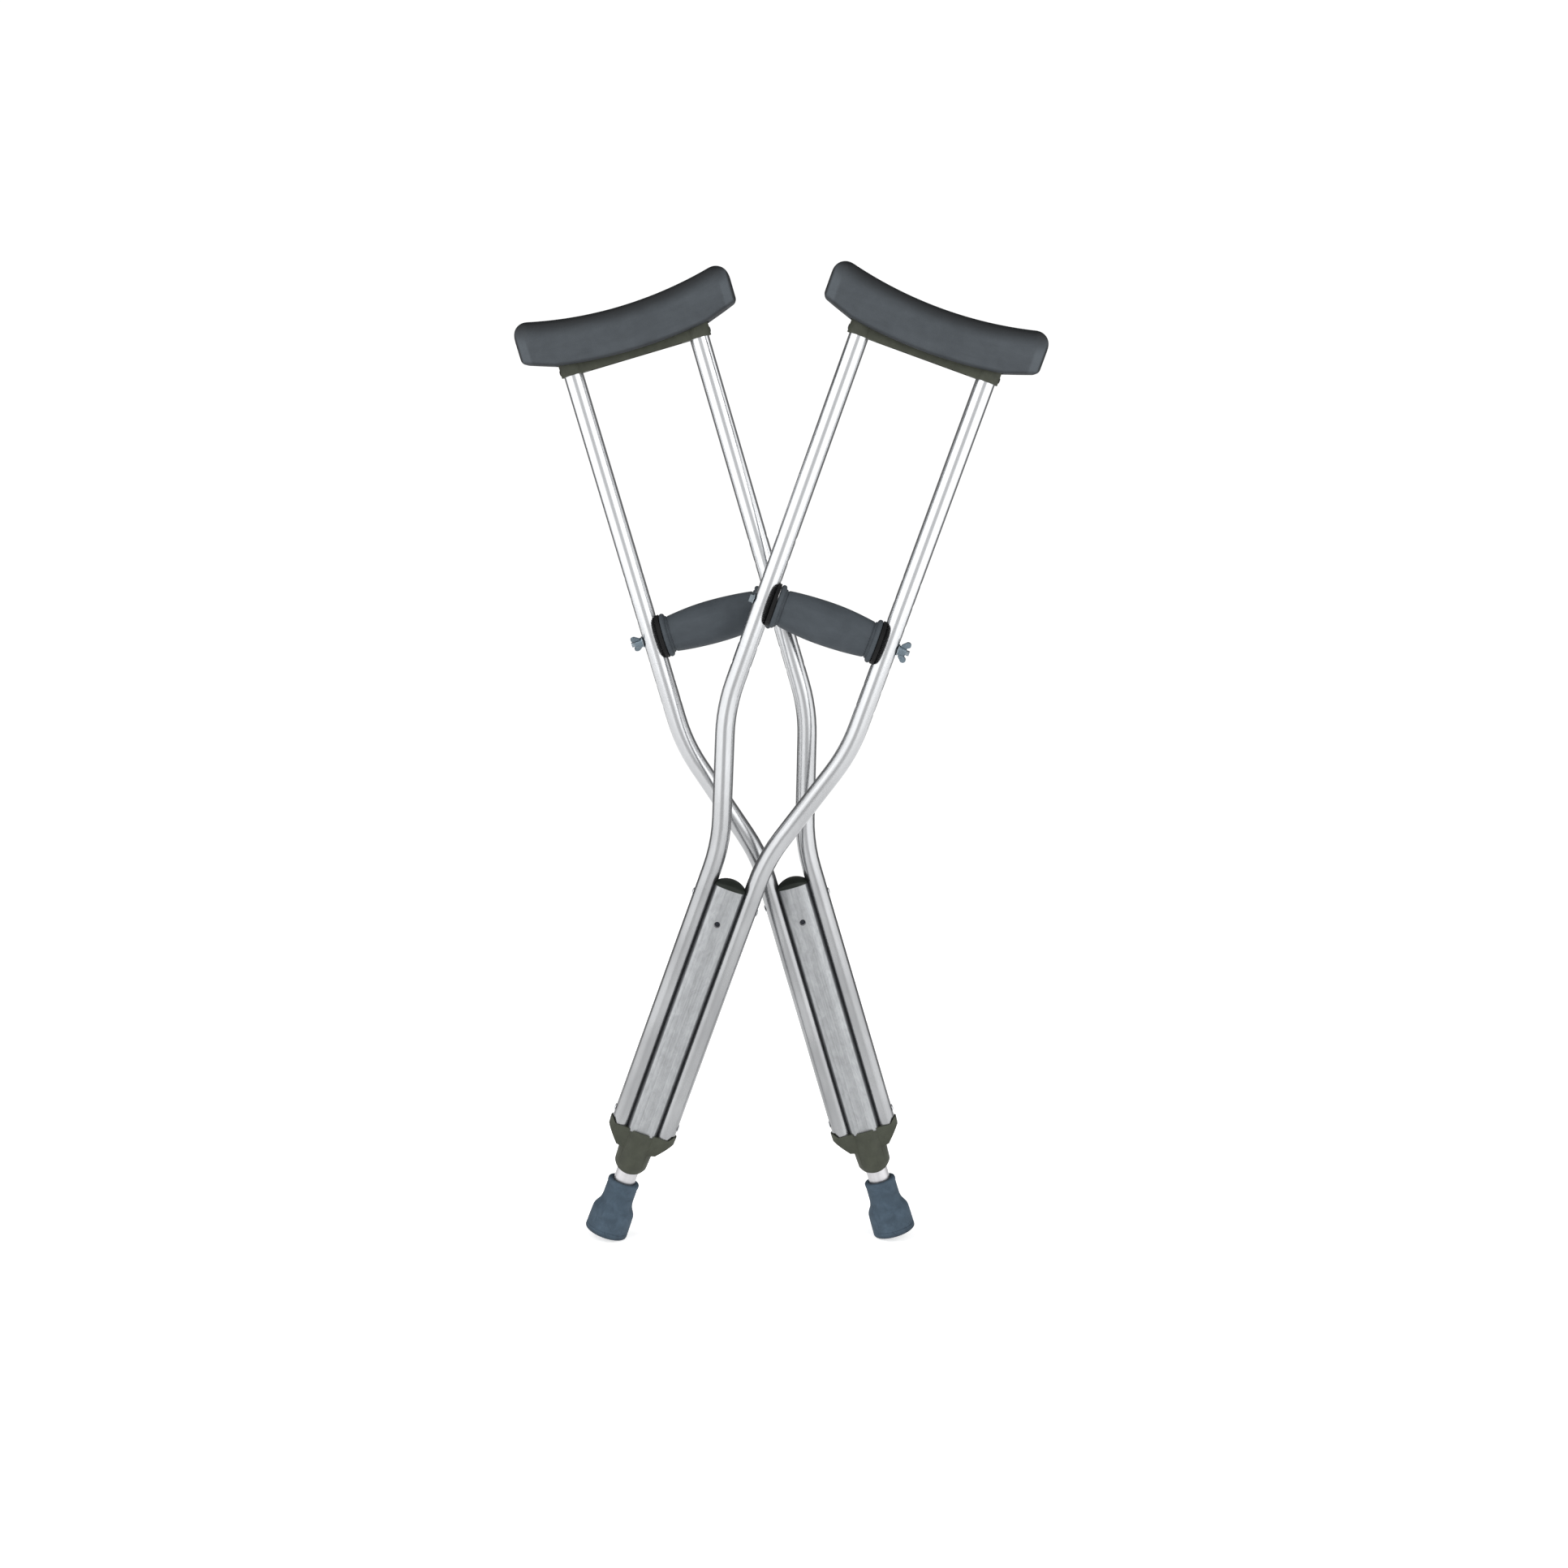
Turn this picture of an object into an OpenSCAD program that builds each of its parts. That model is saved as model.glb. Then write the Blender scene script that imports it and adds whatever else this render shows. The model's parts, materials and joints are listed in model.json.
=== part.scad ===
// Pair of push-button aluminium underarm crutches, standing crossed.
// Each crutch is drawn upright: Z runs up its axis from the middle of the tip's sole,
// X points to the side with the wing nut, and Y points to the back.

/* [Pair] */
// Lean of the left (rear) crutch, degrees
lean_left = 19; // [14:0.5:22]
// Lean of the right (front) crutch, degrees
lean_right = 17; // [14:0.5:22]
// Where the left crutch's sole stands along X
left_tip_x = 187; // [150:1:220]
// Where the right crutch's sole stands along X
right_tip_x = -152; // [-220:1:-140]
// Distance between the two crutches' middle planes
plane_gap = 52; // [51:1:80]

/* [Heights above the sole] */
// Overall height with the leg fully in
crutch_h = 1133; // [1120:1:1140]
// Lower edge of the underarm bracket
bracket_z = 1063; // [1058:1:1066]
// Grip bolt, middle hole
grip_z = 754; // [752:1:760]
// Upper end of the side tubes' bends
bend_top_z = 658; // [650:1:662]
// Top of the centre tube
centre_top_z = 434; // [430:1:438]
// Bottom of the side tubes and the centre tube
centre_bottom_z = 128.5; // [128:0.5:130]
// Lowest point of the bottom connector
connector_z = 79; // [77:1:84]

/* [Side tubes] */
// Outside diameter
side_d = 22.2; // [22:0.1:22.6]
// Wall thickness
side_wall = 1.5; // [1:0.1:2]
// Half the distance between the tubes' axes at the top
side_half = 73.8; // [72:0.2:76]
// Half the distance between the tubes' axes beside the centre tube
side_low_half = 27; // [27:0.1:27.4]
// Angle of the S-bend, about 17.5 degrees
bend_angle = 17.4922; // [16:0.5:19]
// Radius of each bend at the tube's axis
bend_r = 200; // [180:5:220]

/* [Centre tube and leg] */
// Front to back half depth of the centre tube
centre_half_depth = 15.6; // [15.4:0.1:16.4]
// Radius of its bore
centre_bore_r = 13.05; // [13.02:0.01:13.2]
// Radius of the leg tube
leg_r = 12.7; // [12.6:0.05:12.7]
// Leg tube wall
leg_wall = 1.3; // [1.2:0.1:1.6]
// Distance between adjustment holes
hole_pitch = 25.4; // [25:0.1:25.4]
// Number of height holes
height_holes = 9; // [5:1:9]
// Height of the snap button with the leg fully in
button_z = 392; // [390:1:394]

/* [Grip] */
// Length of the soft sleeve
sleeve_len = 120; // [112:1:120]
// Radius at the sleeve's end flanges
flange_r = 25.2; // [24:0.1:25.4]
// Radius of the sleeve beside its flanges
sleeve_end_r = 20.2; // [19:0.1:22]
// Radius at the middle of the sleeve
sleeve_mid_r = 24.6; // [23:0.1:25]
// Number of bolt holes in each side tube
grip_holes = 7; // [3:2:7]

/* [Underarm cushion] */
// Length of the cushion
pad_len = 250; // [240:1:256]
// Depth of the cushion, front to back
pad_depth = 48; // [46:1:50]
// How far the middle of its top lies below its ends
pad_sag = 13; // [12:0.5:16]
// Height of its underside's lowest point
pad_under_z = 1070; // [1070:0.5:1072]

/* [Rubber tip] */
// Height of the tip
tip_h = 66; // [64:1:70]
// Radius of the neck
tip_neck_r = 18; // [17:0.1:20]
// Radius of the base
tip_base_r = 25; // [24:0.1:26]

/* [Hidden] */
$fn = 96;

side_r = side_d / 2;
eps = 0.01;

// The S-bend: two equal bends with a straight stretch between them
bend_run = side_half - side_low_half;
bend_side = bend_r * (1 - cos(bend_angle));
straight_len = (bend_run - 2 * bend_side) / sin(bend_angle);
bend_bottom_z = bend_top_z - 2 * bend_r * sin(bend_angle) - straight_len * cos(bend_angle);
side_top_z = 1080;

// Centre tube section
section_r = 19.05;
face_r = 32;
flute_gap = 0.1;
port_r = 1.9;
port_at = [12.9, 9.2];
locating_hole_r = 3.6;
button_hole_r = 4.8;

// Rivets
rivet_r = 2;
rivet_hole_r = 2.1;
rivet_head_r = 4;
rivet_head_h = 1.5;
rivet_tail_x = 13.6;
top_rivet_z = centre_top_z - 17;
bottom_rivet_z = 146.5;
bracket_rivet_z = 1069;

// Leg and its button
leg_bottom_z = 10.1;
leg_top_z = button_z + 20;
leg_bore_r = leg_r - leg_wall;
button_r = 4.45;
leg_button_hole_r = 4.5;
button_out = 18;
button_flange_r = 5.6;
button_flange_y = 6.8;
pip_r = 2.8;
pip_hole_r = 3;
spring_w = 7;
spring_t = 0.8;
spring_bend_r = 3;
spring_bend_z = button_z - 55;

// Grip
bolt_r = 3;
bolt_hole_r = 3.3;
core_r = 6.5;
saddle_r = 25;
saddle_in = 60.3;
saddle_out = 64.6;
saddle_groove_r = side_r + 0.3;
washer_t = 1.2;
washer_r = 6.5;
tube_face = side_half + side_r + 0.05;
nut_in = tube_face + washer_t + 0.05;
bolt_head_h = 4;
bolt_end = tube_face + 13.8;
nut_len = 8.5;
nut_r = 5.6;
nut_bore_r = 3.05;

// Bracket and cushion
bracket_half = side_half + 13.7;
socket_r = 13.7;
rail_half_depth = 10.5;
pad_half = pad_len / 2;
pad_top_mid = crutch_h - pad_sag;
pad_peak_x = 108;
pad_top_r = (pad_peak_x * pad_peak_x + pad_sag * pad_sag) / (2 * pad_sag);
pad_under_r = 542;
pad_turn_x = 88;
pad_turn_z = pad_under_z + pad_under_r - sqrt(pad_under_r * pad_under_r - pad_turn_x * pad_turn_x);
pad_end_z = pad_turn_z + (pad_half - pad_turn_x) * tan(18.5);
pad_top_corner_r = 20;
pad_low_corner_r = 5;
pad_gap = 0.3;
plate_low = 8;
plate_t = 6;
plate_half = 108;
plate_half_depth = 15;

// Connector
connector_half = 40;
connector_depth_r = 19;
connector_side_r = 13.2;
connector_rim_z = 131;
connector_horn_z = 136;
shoulder_z = 107;
shoulder_half = 22.4;
bush_low_z = 112;
bush_r = 15.2;
bush_flange_r = 16.8;

// Tip
sole_r = tip_base_r - 1.5;
tip_floor_z = 8.4;
tip_washer_t = 1.5;

// Placing: the crutch leans about its sole's edge, which touches the floor
module right_crutch() {
    translate([right_tip_x, -plane_gap / 2, sole_r * sin(lean_right)])
        rotate([0, lean_right, 0])
            children();
}

module left_crutch() {
    translate([left_tip_x, plane_gap / 2, sole_r * sin(lean_left)])
        mirror([1, 0, 0])
            rotate([0, lean_left, 0])
                children();
}

// A cylinder along X from x0 to x1 at height z
module rod_x(r, x0, x1, z) {
    translate([x0, 0, z])
        rotate([0, 90, 0])
            cylinder(h = x1 - x0, r = r);
}

// A cylinder along Y from y0 to y1 at height z
module rod_y(r, y0, y1, z) {
    translate([0, y0, z])
        rotate([-90, 0, 0])
            cylinder(h = y1 - y0, r = r);
}

module ring(outer, inner) {
    difference() {
        circle(r = outer);
        circle(r = inner);
    }
}

module pipe(r, wall, z0, z1) {
    translate([0, 0, z0])
        linear_extrude(z1 - z0)
            ring(r, r - wall);
}

// A round bar that starts straight down from the origin and bends through angle a
// towards -X, or towards +X where a is negative. Children go on from its end.
module bar_bend(r, a) {
    side = a > 0 ? 1 : -1;
    translate([-side * bend_r, 0, 0]) {
        rotate([90, 0, 0])
            rotate([0, 0, a > 0 ? -a : 180])
                rotate_extrude(angle = abs(a))
                    translate([bend_r, 0])
                        rotate(a > 0 ? 0 : 180)
                            circle(r = r);
        rotate([0, a, 0])
            translate([side * bend_r, 0, 0])
                children();
    }
}

// A round bar straight down from the origin. Children go on from its end.
module bar_down(r, length) {
    translate([0, 0, -length]) {
        cylinder(h = length, r = r);
        children();
    }
}

// ---- Side tubes ----

// Solid bar along the whole tube, from its top down
module side_bar(r) {
    translate([side_half, 0, side_top_z])
        bar_down(r, side_top_z - bend_top_z)
            bar_bend(r, bend_angle)
                bar_down(r, straight_len)
                    bar_bend(r, -bend_angle)
                        bar_down(r, bend_bottom_z - centre_bottom_z);
}

module side_tube() {
    color([0.86, 0.87, 0.88])
        difference() {
            side_bar(side_r);
            side_bar(side_r - side_wall);
            for (k = [-(grip_holes - 1) / 2 : (grip_holes - 1) / 2])
                rod_x(bolt_hole_r, side_half - 20, side_half + 20, grip_z + k * hole_pitch);
            for (z = [top_rivet_z, bottom_rivet_z])
                rod_x(rivet_hole_r, 10, side_low_half + 20, z);
            rod_x(rivet_hole_r, side_half, side_half + 20, bracket_rivet_z);
        }
}

module outer_side_tube() {
    side_tube();
}

module inner_side_tube() {
    mirror([1, 0, 0])
        side_tube();
}

// ---- Centre tube ----

// Barrel section with a flute down each side for a side tube
module centre_outline() {
    difference() {
        intersection() {
            circle(r = section_r);
            translate([0, centre_half_depth - face_r])
                circle(r = face_r);
            translate([0, face_r - centre_half_depth])
                circle(r = face_r);
        }
        for (s = [-1, 1])
            translate([s * side_low_half, 0])
                circle(r = side_r + flute_gap);
    }
}

module centre_section() {
    difference() {
        centre_outline();
        circle(r = centre_bore_r);
        for (sx = [-1, 1], sy = [-1, 1])
            translate([sx * port_at[0], sy * port_at[1]])
                circle(r = port_r);
    }
}

module centre_tube() {
    color([0.74, 0.75, 0.76])
        difference() {
            translate([0, 0, centre_bottom_z])
                linear_extrude(centre_top_z - centre_bottom_z)
                    centre_section();
            rod_y(locating_hole_r, -30, 0, button_z);
            for (k = [0 : height_holes - 1])
                rod_y(button_hole_r, 0, 30, button_z - k * hole_pitch);
            for (z = [top_rivet_z, bottom_rivet_z])
                rod_x(rivet_hole_r, -40, 40, z);
        }
}

module centre_tube_cap() {
    dome_h = 8.5;
    dome_r = (section_r * section_r + dome_h * dome_h) / (2 * dome_h);
    color([0.16, 0.17, 0.14]) {
        translate([0, 0, centre_top_z])
            intersection() {
                linear_extrude(dome_h + 3)
                    centre_outline();
                translate([0, 0, 2 + dome_h - dome_r])
                    sphere(r = dome_r);
            }
        translate([0, 0, centre_top_z - 8])
            linear_extrude(8 + eps)
                ring(centre_bore_r - 0.1, centre_bore_r - 2);
    }
}

// Blind rivet from x = tail to a domed head that sits on x = seat
module rivet(tail, seat, head_r, head_h, z) {
    translate([0, 0, z])
        rotate([0, 90, 0])
            rotate_extrude()
                polygon(concat(
                    [[0, tail], [rivet_r, tail], [rivet_r, seat]],
                    [for (a = [0 : 15 : 90]) [head_r * cos(a), seat + head_h * sin(a)]]));
}

module rivet_pair(z) {
    color([0.8, 0.81, 0.82])
        for (s = [0, 1])
            mirror([s, 0, 0])
                rivet(rivet_tail_x, side_low_half + side_r, rivet_head_r, rivet_head_h, z);
}

module top_rivets() {
    rivet_pair(top_rivet_z);
}

module bottom_rivets() {
    rivet_pair(bottom_rivet_z);
}

// ---- Bottom connector ----

// Front outline: a wide rim with raised corners that narrows to a rounded nose
module connector_front() {
    nose_r = 19;
    intersection() {
        union() {
            polygon([
                [-connector_half, connector_horn_z], [-connector_half + 0.5, 127.5],
                [-shoulder_half - 2, shoulder_z + 3], [-shoulder_half, shoulder_z],
                [-nose_r - 0.4, 93], [nose_r + 0.4, 93],
                [shoulder_half, shoulder_z], [shoulder_half + 2, shoulder_z + 3],
                [connector_half - 0.5, 127.5], [connector_half, connector_horn_z],
                [connector_half - 3, connector_horn_z], [connector_half - 8, connector_rim_z],
                [-connector_half + 8, connector_rim_z], [-connector_half + 3, connector_horn_z]]);
            intersection() {
                translate([0, connector_z + 24])
                    circle(r = 24);
                translate([-nose_r - 0.4, connector_z])
                    square([2 * nose_r + 0.8, 20]);
            }
        }
        translate([-50, connector_z])
            square([100, 80]);
    }
}

// Plan: a wide round middle with a round wall for each side tube
module connector_plan(grow) {
    circle(r = connector_depth_r + grow);
    square([2 * side_low_half, 2 * (connector_side_r + grow)], center = true);
    for (s = [-1, 1])
        translate([s * side_low_half, 0])
            circle(r = connector_side_r + grow);
}

module bottom_connector() {
    gap = 0.25;
    color([0.26, 0.27, 0.22])
        difference() {
            intersection() {
                translate([0, 30, 0])
                    rotate([90, 0, 0])
                        linear_extrude(60)
                            connector_front();
                translate([0, 0, connector_z - 1])
                    linear_extrude(80)
                        connector_plan(0);
                // the nose draws in at the front and back as well
                translate([0, 0, connector_z])
                    rotate_extrude()
                        polygon([[0, 0], [13.5, 0], [17, 3], [connector_depth_r, 9],
                            [connector_depth_r + 1, 28], [60, 40], [60, 70], [0, 70]]);
            }
            translate([0, 0, centre_bottom_z - 0.1])
                linear_extrude(30) {
                    intersection() {
                        circle(r = section_r + gap);
                        square([60, 2 * (centre_half_depth + gap)], center = true);
                    }
                    for (s = [-1, 1])
                        translate([s * side_low_half, 0])
                            circle(r = side_r + gap);
                }
            translate([0, 0, connector_z - 1])
                cylinder(h = 60, r = centre_bore_r + 0.25);
            translate([0, 0, bush_low_z - 0.1])
                cylinder(h = 30, r = bush_r);
            translate([0, 0, centre_bottom_z - 3.2])
                cylinder(h = 5, r = bush_flange_r + 0.1);
        }
}

module leg_guide_bush() {
    running_gap = 0.06;
    color([0.9, 0.9, 0.88])
        difference() {
            union() {
                translate([0, 0, bush_low_z])
                    cylinder(h = centre_bottom_z - 0.2 - bush_low_z, r = bush_r - 0.1);
                translate([0, 0, centre_bottom_z - 3])
                    cylinder(h = 2.8, r = bush_flange_r);
            }
            translate([0, 0, bush_low_z - 1])
                cylinder(h = 30, r = leg_r + running_gap);
        }
}

// ---- Leg ----

module leg_tube() {
    color([0.88, 0.88, 0.89])
        difference() {
            pipe(leg_r, leg_wall, leg_bottom_z, leg_top_z);
            rod_y(leg_button_hole_r, 0, 20, button_z);
            rod_y(pip_hole_r, -20, 0, button_z);
        }
}

module leg_top_plug() {
    color([0.2, 0.2, 0.2]) {
        translate([0, 0, leg_top_z - 7])
            linear_extrude(7 + eps)
                ring(leg_bore_r - 0.05, leg_bore_r - 2);
        translate([0, 0, leg_top_z])
            cylinder(h = 1.8, r = leg_r - 0.1);
    }
}

module snap_button() {
    tip_sphere_r = 6;
    color([0.82, 0.83, 0.84]) {
        intersection() {
            rod_y(button_r, button_flange_y, button_out, button_z);
            union() {
                translate([0, button_out - tip_sphere_r, button_z])
                    sphere(r = tip_sphere_r);
                rod_y(button_r + 1, button_flange_y - 1, button_out - tip_sphere_r + 2, button_z);
            }
        }
        rod_y(button_flange_r, button_flange_y, button_flange_y + 1.2, button_z);
    }
}

// A flat strip of the spring between two points of the YZ plane
module leaf(a, b) {
    run = b - a;
    translate(a)
        rotate(atan2(run[1], run[0]))
            translate([0, -spring_t / 2])
                square([norm(run), spring_t]);
}

module button_spring() {
    arm_top = button_z + 9;
    color([0.6, 0.62, 0.64]) {
        rotate([90, 0, 90])
            translate([0, 0, -spring_w / 2])
                linear_extrude(spring_w) {
                    leaf([spring_bend_r, spring_bend_z], [button_flange_y - 0.6, button_z - 7]);
                    leaf([button_flange_y - 0.6, button_z - 7.2], [button_flange_y - 0.6, arm_top]);
                    leaf([-spring_bend_r, spring_bend_z], [-leg_bore_r + 1.4, button_z - 7]);
                    leaf([-leg_bore_r + 1.4, button_z - 7.2], [-leg_bore_r + 1.4, arm_top]);
                    translate([0, spring_bend_z])
                        intersection() {
                            ring(spring_bend_r + spring_t / 2, spring_bend_r - spring_t / 2);
                            translate([-10, -10])
                                square([20, 10.2]);
                        }
                }
        rod_y(pip_r, -leg_r + 0.2, -leg_bore_r + 1.4, button_z);
    }
}

// ---- Tip ----

module rubber_tip() {
    color([0.27, 0.33, 0.38])
        rotate_extrude()
            polygon([
                [0, 0], [sole_r, 0], [tip_base_r, 1.5], [tip_base_r - 0.5, 27],
                [tip_base_r - 1.5, 30.5], [tip_neck_r + 1.2, 38], [tip_neck_r + 0.3, 42],
                [tip_neck_r, tip_h - 4], [tip_neck_r + 0.4, tip_h - 3],
                [tip_neck_r + 0.2, tip_h - 0.6], [tip_neck_r - 0.6, tip_h],
                [leg_r + 0.6, tip_h], [leg_r + 0.05, tip_h - 1.5],
                [leg_r + 0.05, tip_floor_z], [0, tip_floor_z]]);
}

module tip_washer() {
    color([0.6, 0.61, 0.62])
        translate([0, 0, tip_floor_z + 0.05])
            cylinder(h = tip_washer_t, r = leg_r - 0.2);
}

// ---- Grip ----

module grip_turned() {
    translate([0, 0, grip_z])
        rotate([0, 90, 0])
            rotate_extrude()
                children();
}

module grip_core() {
    color([0.35, 0.35, 0.35])
        grip_turned()
            translate([bolt_r + 0.2, -saddle_in + 0.1])
                square([core_r - bolt_r - 0.2, 2 * saddle_in - 0.2]);
}

// Half round edge of a flange centred at height z
function flange_bead(z, r) =
    [for (a = [-90 : 15 : 90]) [flange_r - r + r * cos(a), z + r * sin(a)]];

// Crowned body between two rounded flanges
module grip_sleeve() {
    bead_r = 3;
    half = sleeve_len / 2;
    body_half = half - 2 * bead_r;
    rise = sleeve_mid_r - sleeve_end_r;
    bore_r = core_r + 0.1;
    color([0.3, 0.31, 0.33])
        grip_turned()
            polygon(concat(
                [[bore_r, -half]],
                flange_bead(bead_r - half, bead_r),
                [for (t = [-1 : 0.1 : 1.001]) [sleeve_end_r + rise * (1 - t * t), t * body_half]],
                flange_bead(half - bead_r, bead_r),
                [[bore_r, half]]));
}

// Round end cap with a groove that seats on the side tube
module grip_saddle() {
    color([0.07, 0.07, 0.07])
        difference() {
            rod_x(saddle_r, saddle_in, saddle_out, grip_z);
            translate([side_half, 0, grip_z - 40])
                cylinder(h = 80, r = saddle_groove_r);
            rod_x(bolt_r + 0.3, 0, 100, grip_z);
        }
}

module outer_grip_saddle() {
    grip_saddle();
}

module inner_grip_saddle() {
    mirror([1, 0, 0])
        grip_saddle();
}

module grip_bolt() {
    head_in = -nut_in;
    color([0.68, 0.7, 0.72]) {
        rod_x(bolt_r, head_in - 1, bolt_end, grip_z);
        translate([head_in - bolt_head_h, 0, grip_z])
            rotate([0, 90, 0])
                cylinder(h = bolt_head_h, r = 5.77, $fn = 6);
    }
}

module grip_washers() {
    color([0.7, 0.72, 0.74])
        for (s = [0, 1])
            mirror([s, 0, 0])
                difference() {
                    rod_x(washer_r, tube_face, tube_face + washer_t, grip_z);
                    rod_x(bolt_r + 0.2, tube_face - 1, tube_face + washer_t + 1, grip_z);
                }
}

// One wing: a flat rounded paddle that leans away from the tube
module wing() {
    wing_t = 2.4;
    tip_at = [9.4, 8.2];
    rotate([90, 0, 0])
        translate([0, 0, -wing_t / 2])
            linear_extrude(wing_t) {
                polygon([[3.8, 0.6], [7.6, 1.8], [12.3, 6.3], [7.4, 11.1], [3.8, 5.9]]);
                translate(tip_at)
                    circle(r = 3.5);
            }
}

module wing_nut(turn) {
    color([0.66, 0.69, 0.72])
        translate([nut_in, 0, grip_z])
            rotate([turn, 0, 0])
                rotate([0, 90, 0])
                    difference() {
                        union() {
                            cylinder(h = nut_len, r1 = nut_r, r2 = nut_r - 1);
                            wing();
                            rotate([0, 0, 180])
                                wing();
                        }
                        translate([0, 0, -1])
                            cylinder(h = 30, r = nut_bore_r);
                    }
}

// ---- Underarm bracket and cushion ----

// Curved plate that the cushion lies on, thicker all round by grow
module plate_front(grow) {
    centre_z = pad_under_z + pad_under_r;
    intersection() {
        difference() {
            translate([0, centre_z])
                circle(r = pad_under_r - plate_low + grow, $fn = 256);
            translate([0, centre_z])
                circle(r = pad_under_r - plate_low - plate_t - grow, $fn = 256);
        }
        translate([-plate_half - grow, bracket_z])
            square([2 * (plate_half + grow), 80]);
    }
}

module along_y(half) {
    translate([0, half, 0])
        rotate([90, 0, 0])
            linear_extrude(2 * half)
                children();
}

// Everything of the bracket below its plate, wider and longer by grow
module rail_front(grow) {
    difference() {
        translate([-bracket_half - grow, bracket_z - grow])
            square([2 * (bracket_half + grow), 60]);
        translate([0, pad_under_z + pad_under_r])
            circle(r = pad_under_r - plate_low - 1, $fn = 256);
    }
}

module underarm_bracket() {
    color([0.25, 0.26, 0.21])
        difference() {
            union() {
                along_y(plate_half_depth)
                    plate_front(0);
                intersection() {
                    along_y(30)
                        rail_front(0);
                    union() {
                        translate([-side_half, -rail_half_depth, 1000])
                            cube([2 * side_half, 2 * rail_half_depth, 200]);
                        for (s = [-1, 1])
                            translate([s * side_half, 0, 1000])
                                cylinder(h = 200, r = socket_r);
                    }
                }
            }
            for (s = [-1, 1])
                translate([s * side_half, 0, 1000])
                    cylinder(h = side_top_z + 0.2 - 1000, r = side_r + 0.1);
            for (s = [0, 1])
                mirror([s, 0, 0])
                    rod_x(rivet_hole_r, side_half, side_half + 30, bracket_rivet_z);
            // lightening pocket between the sockets, open below
            translate([-side_half + 20, -rail_half_depth + 2, 1000])
                cube([2 * side_half - 40, 2 * rail_half_depth - 4, bracket_z + 7 - 1000]);
        }
}

module bracket_rivets() {
    color([0.2, 0.2, 0.18])
        for (s = [0, 1])
            mirror([s, 0, 0])
                rivet(side_half + side_r - 4, bracket_half, 3.2, 1, bracket_rivet_z);
}

// Front outline of the cushion, with corners of radius r: a shallow curved bar whose
// underside rises more steeply beyond the bracket
module pad_bar(r) {
    offset(r = r, $fn = 32)
        offset(delta = -r)
            difference() {
                intersection() {
                    translate([-pad_half, pad_under_z - 10])
                        square([pad_len, 80]);
                    translate([0, pad_under_z + pad_under_r])
                        circle(r = pad_under_r, $fn = 240);
                    polygon([
                        [-pad_half, pad_end_z], [-pad_turn_x, pad_turn_z],
                        [-pad_turn_x, pad_under_z - 5], [pad_turn_x, pad_under_z - 5],
                        [pad_turn_x, pad_turn_z], [pad_half, pad_end_z],
                        [pad_half, pad_under_z + 90], [-pad_half, pad_under_z + 90]]);
                }
                translate([0, pad_top_mid + pad_top_r])
                    circle(r = pad_top_r, $fn = 240);
            }
}

// Rounder corners above than below
module pad_front() {
    pad_bar(pad_top_corner_r);
    intersection() {
        pad_bar(pad_low_corner_r);
        translate([-pad_half, pad_under_z - 10])
            square([pad_len, 44]);
    }
}

module underarm_pad() {
    color([0.29, 0.3, 0.32])
        difference() {
            along_y(pad_depth / 2)
                pad_front();
            along_y(plate_half_depth + pad_gap)
                plate_front(pad_gap);
            along_y(socket_r + pad_gap)
                rail_front(pad_gap);
        }
}

left_crutch() underarm_pad();  // left_underarm_pad
left_crutch() underarm_bracket();  // left_underarm_bracket
left_crutch() bracket_rivets();  // left_bracket_rivets
left_crutch() outer_side_tube();  // left_outer_side_tube
left_crutch() inner_side_tube();  // left_inner_side_tube
left_crutch() centre_tube();  // left_centre_tube
left_crutch() centre_tube_cap();  // left_centre_tube_cap
left_crutch() top_rivets();  // left_top_rivets
left_crutch() bottom_rivets();  // left_bottom_rivets
left_crutch() bottom_connector();  // left_bottom_connector
left_crutch() leg_guide_bush();  // left_leg_guide_bush
left_crutch() leg_tube();  // left_leg_tube
left_crutch() leg_top_plug();  // left_leg_top_plug
left_crutch() snap_button();  // left_snap_button
left_crutch() button_spring();  // left_button_spring
left_crutch() rubber_tip();  // left_rubber_tip
left_crutch() tip_washer();  // left_tip_washer
left_crutch() grip_core();  // left_grip_core
left_crutch() grip_sleeve();  // left_grip_sleeve
left_crutch() outer_grip_saddle();  // left_outer_grip_saddle
left_crutch() inner_grip_saddle();  // left_inner_grip_saddle
left_crutch() grip_bolt();  // left_grip_bolt
left_crutch() grip_washers();  // left_grip_washers
left_crutch() wing_nut(50);  // left_wing_nut
right_crutch() underarm_pad();  // right_underarm_pad
right_crutch() underarm_bracket();  // right_underarm_bracket
right_crutch() bracket_rivets();  // right_bracket_rivets
right_crutch() outer_side_tube();  // right_outer_side_tube
right_crutch() inner_side_tube();  // right_inner_side_tube
right_crutch() centre_tube();  // right_centre_tube
right_crutch() centre_tube_cap();  // right_centre_tube_cap
right_crutch() top_rivets();  // right_top_rivets
right_crutch() bottom_rivets();  // right_bottom_rivets
right_crutch() bottom_connector();  // right_bottom_connector
right_crutch() leg_guide_bush();  // right_leg_guide_bush
right_crutch() leg_tube();  // right_leg_tube
right_crutch() leg_top_plug();  // right_leg_top_plug
right_crutch() snap_button();  // right_snap_button
right_crutch() button_spring();  // right_button_spring
right_crutch() rubber_tip();  // right_rubber_tip
right_crutch() tip_washer();  // right_tip_washer
right_crutch() grip_core();  // right_grip_core
right_crutch() grip_sleeve();  // right_grip_sleeve
right_crutch() outer_grip_saddle();  // right_outer_grip_saddle
right_crutch() inner_grip_saddle();  // right_inner_grip_saddle
right_crutch() grip_bolt();  // right_grip_bolt
right_crutch() grip_washers();  // right_grip_washers
right_crutch() wing_nut(20);  // right_wing_nut
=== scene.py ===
import json
import math

import bmesh
import bpy
import numpy as np
from mathutils import Matrix, Vector


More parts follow.
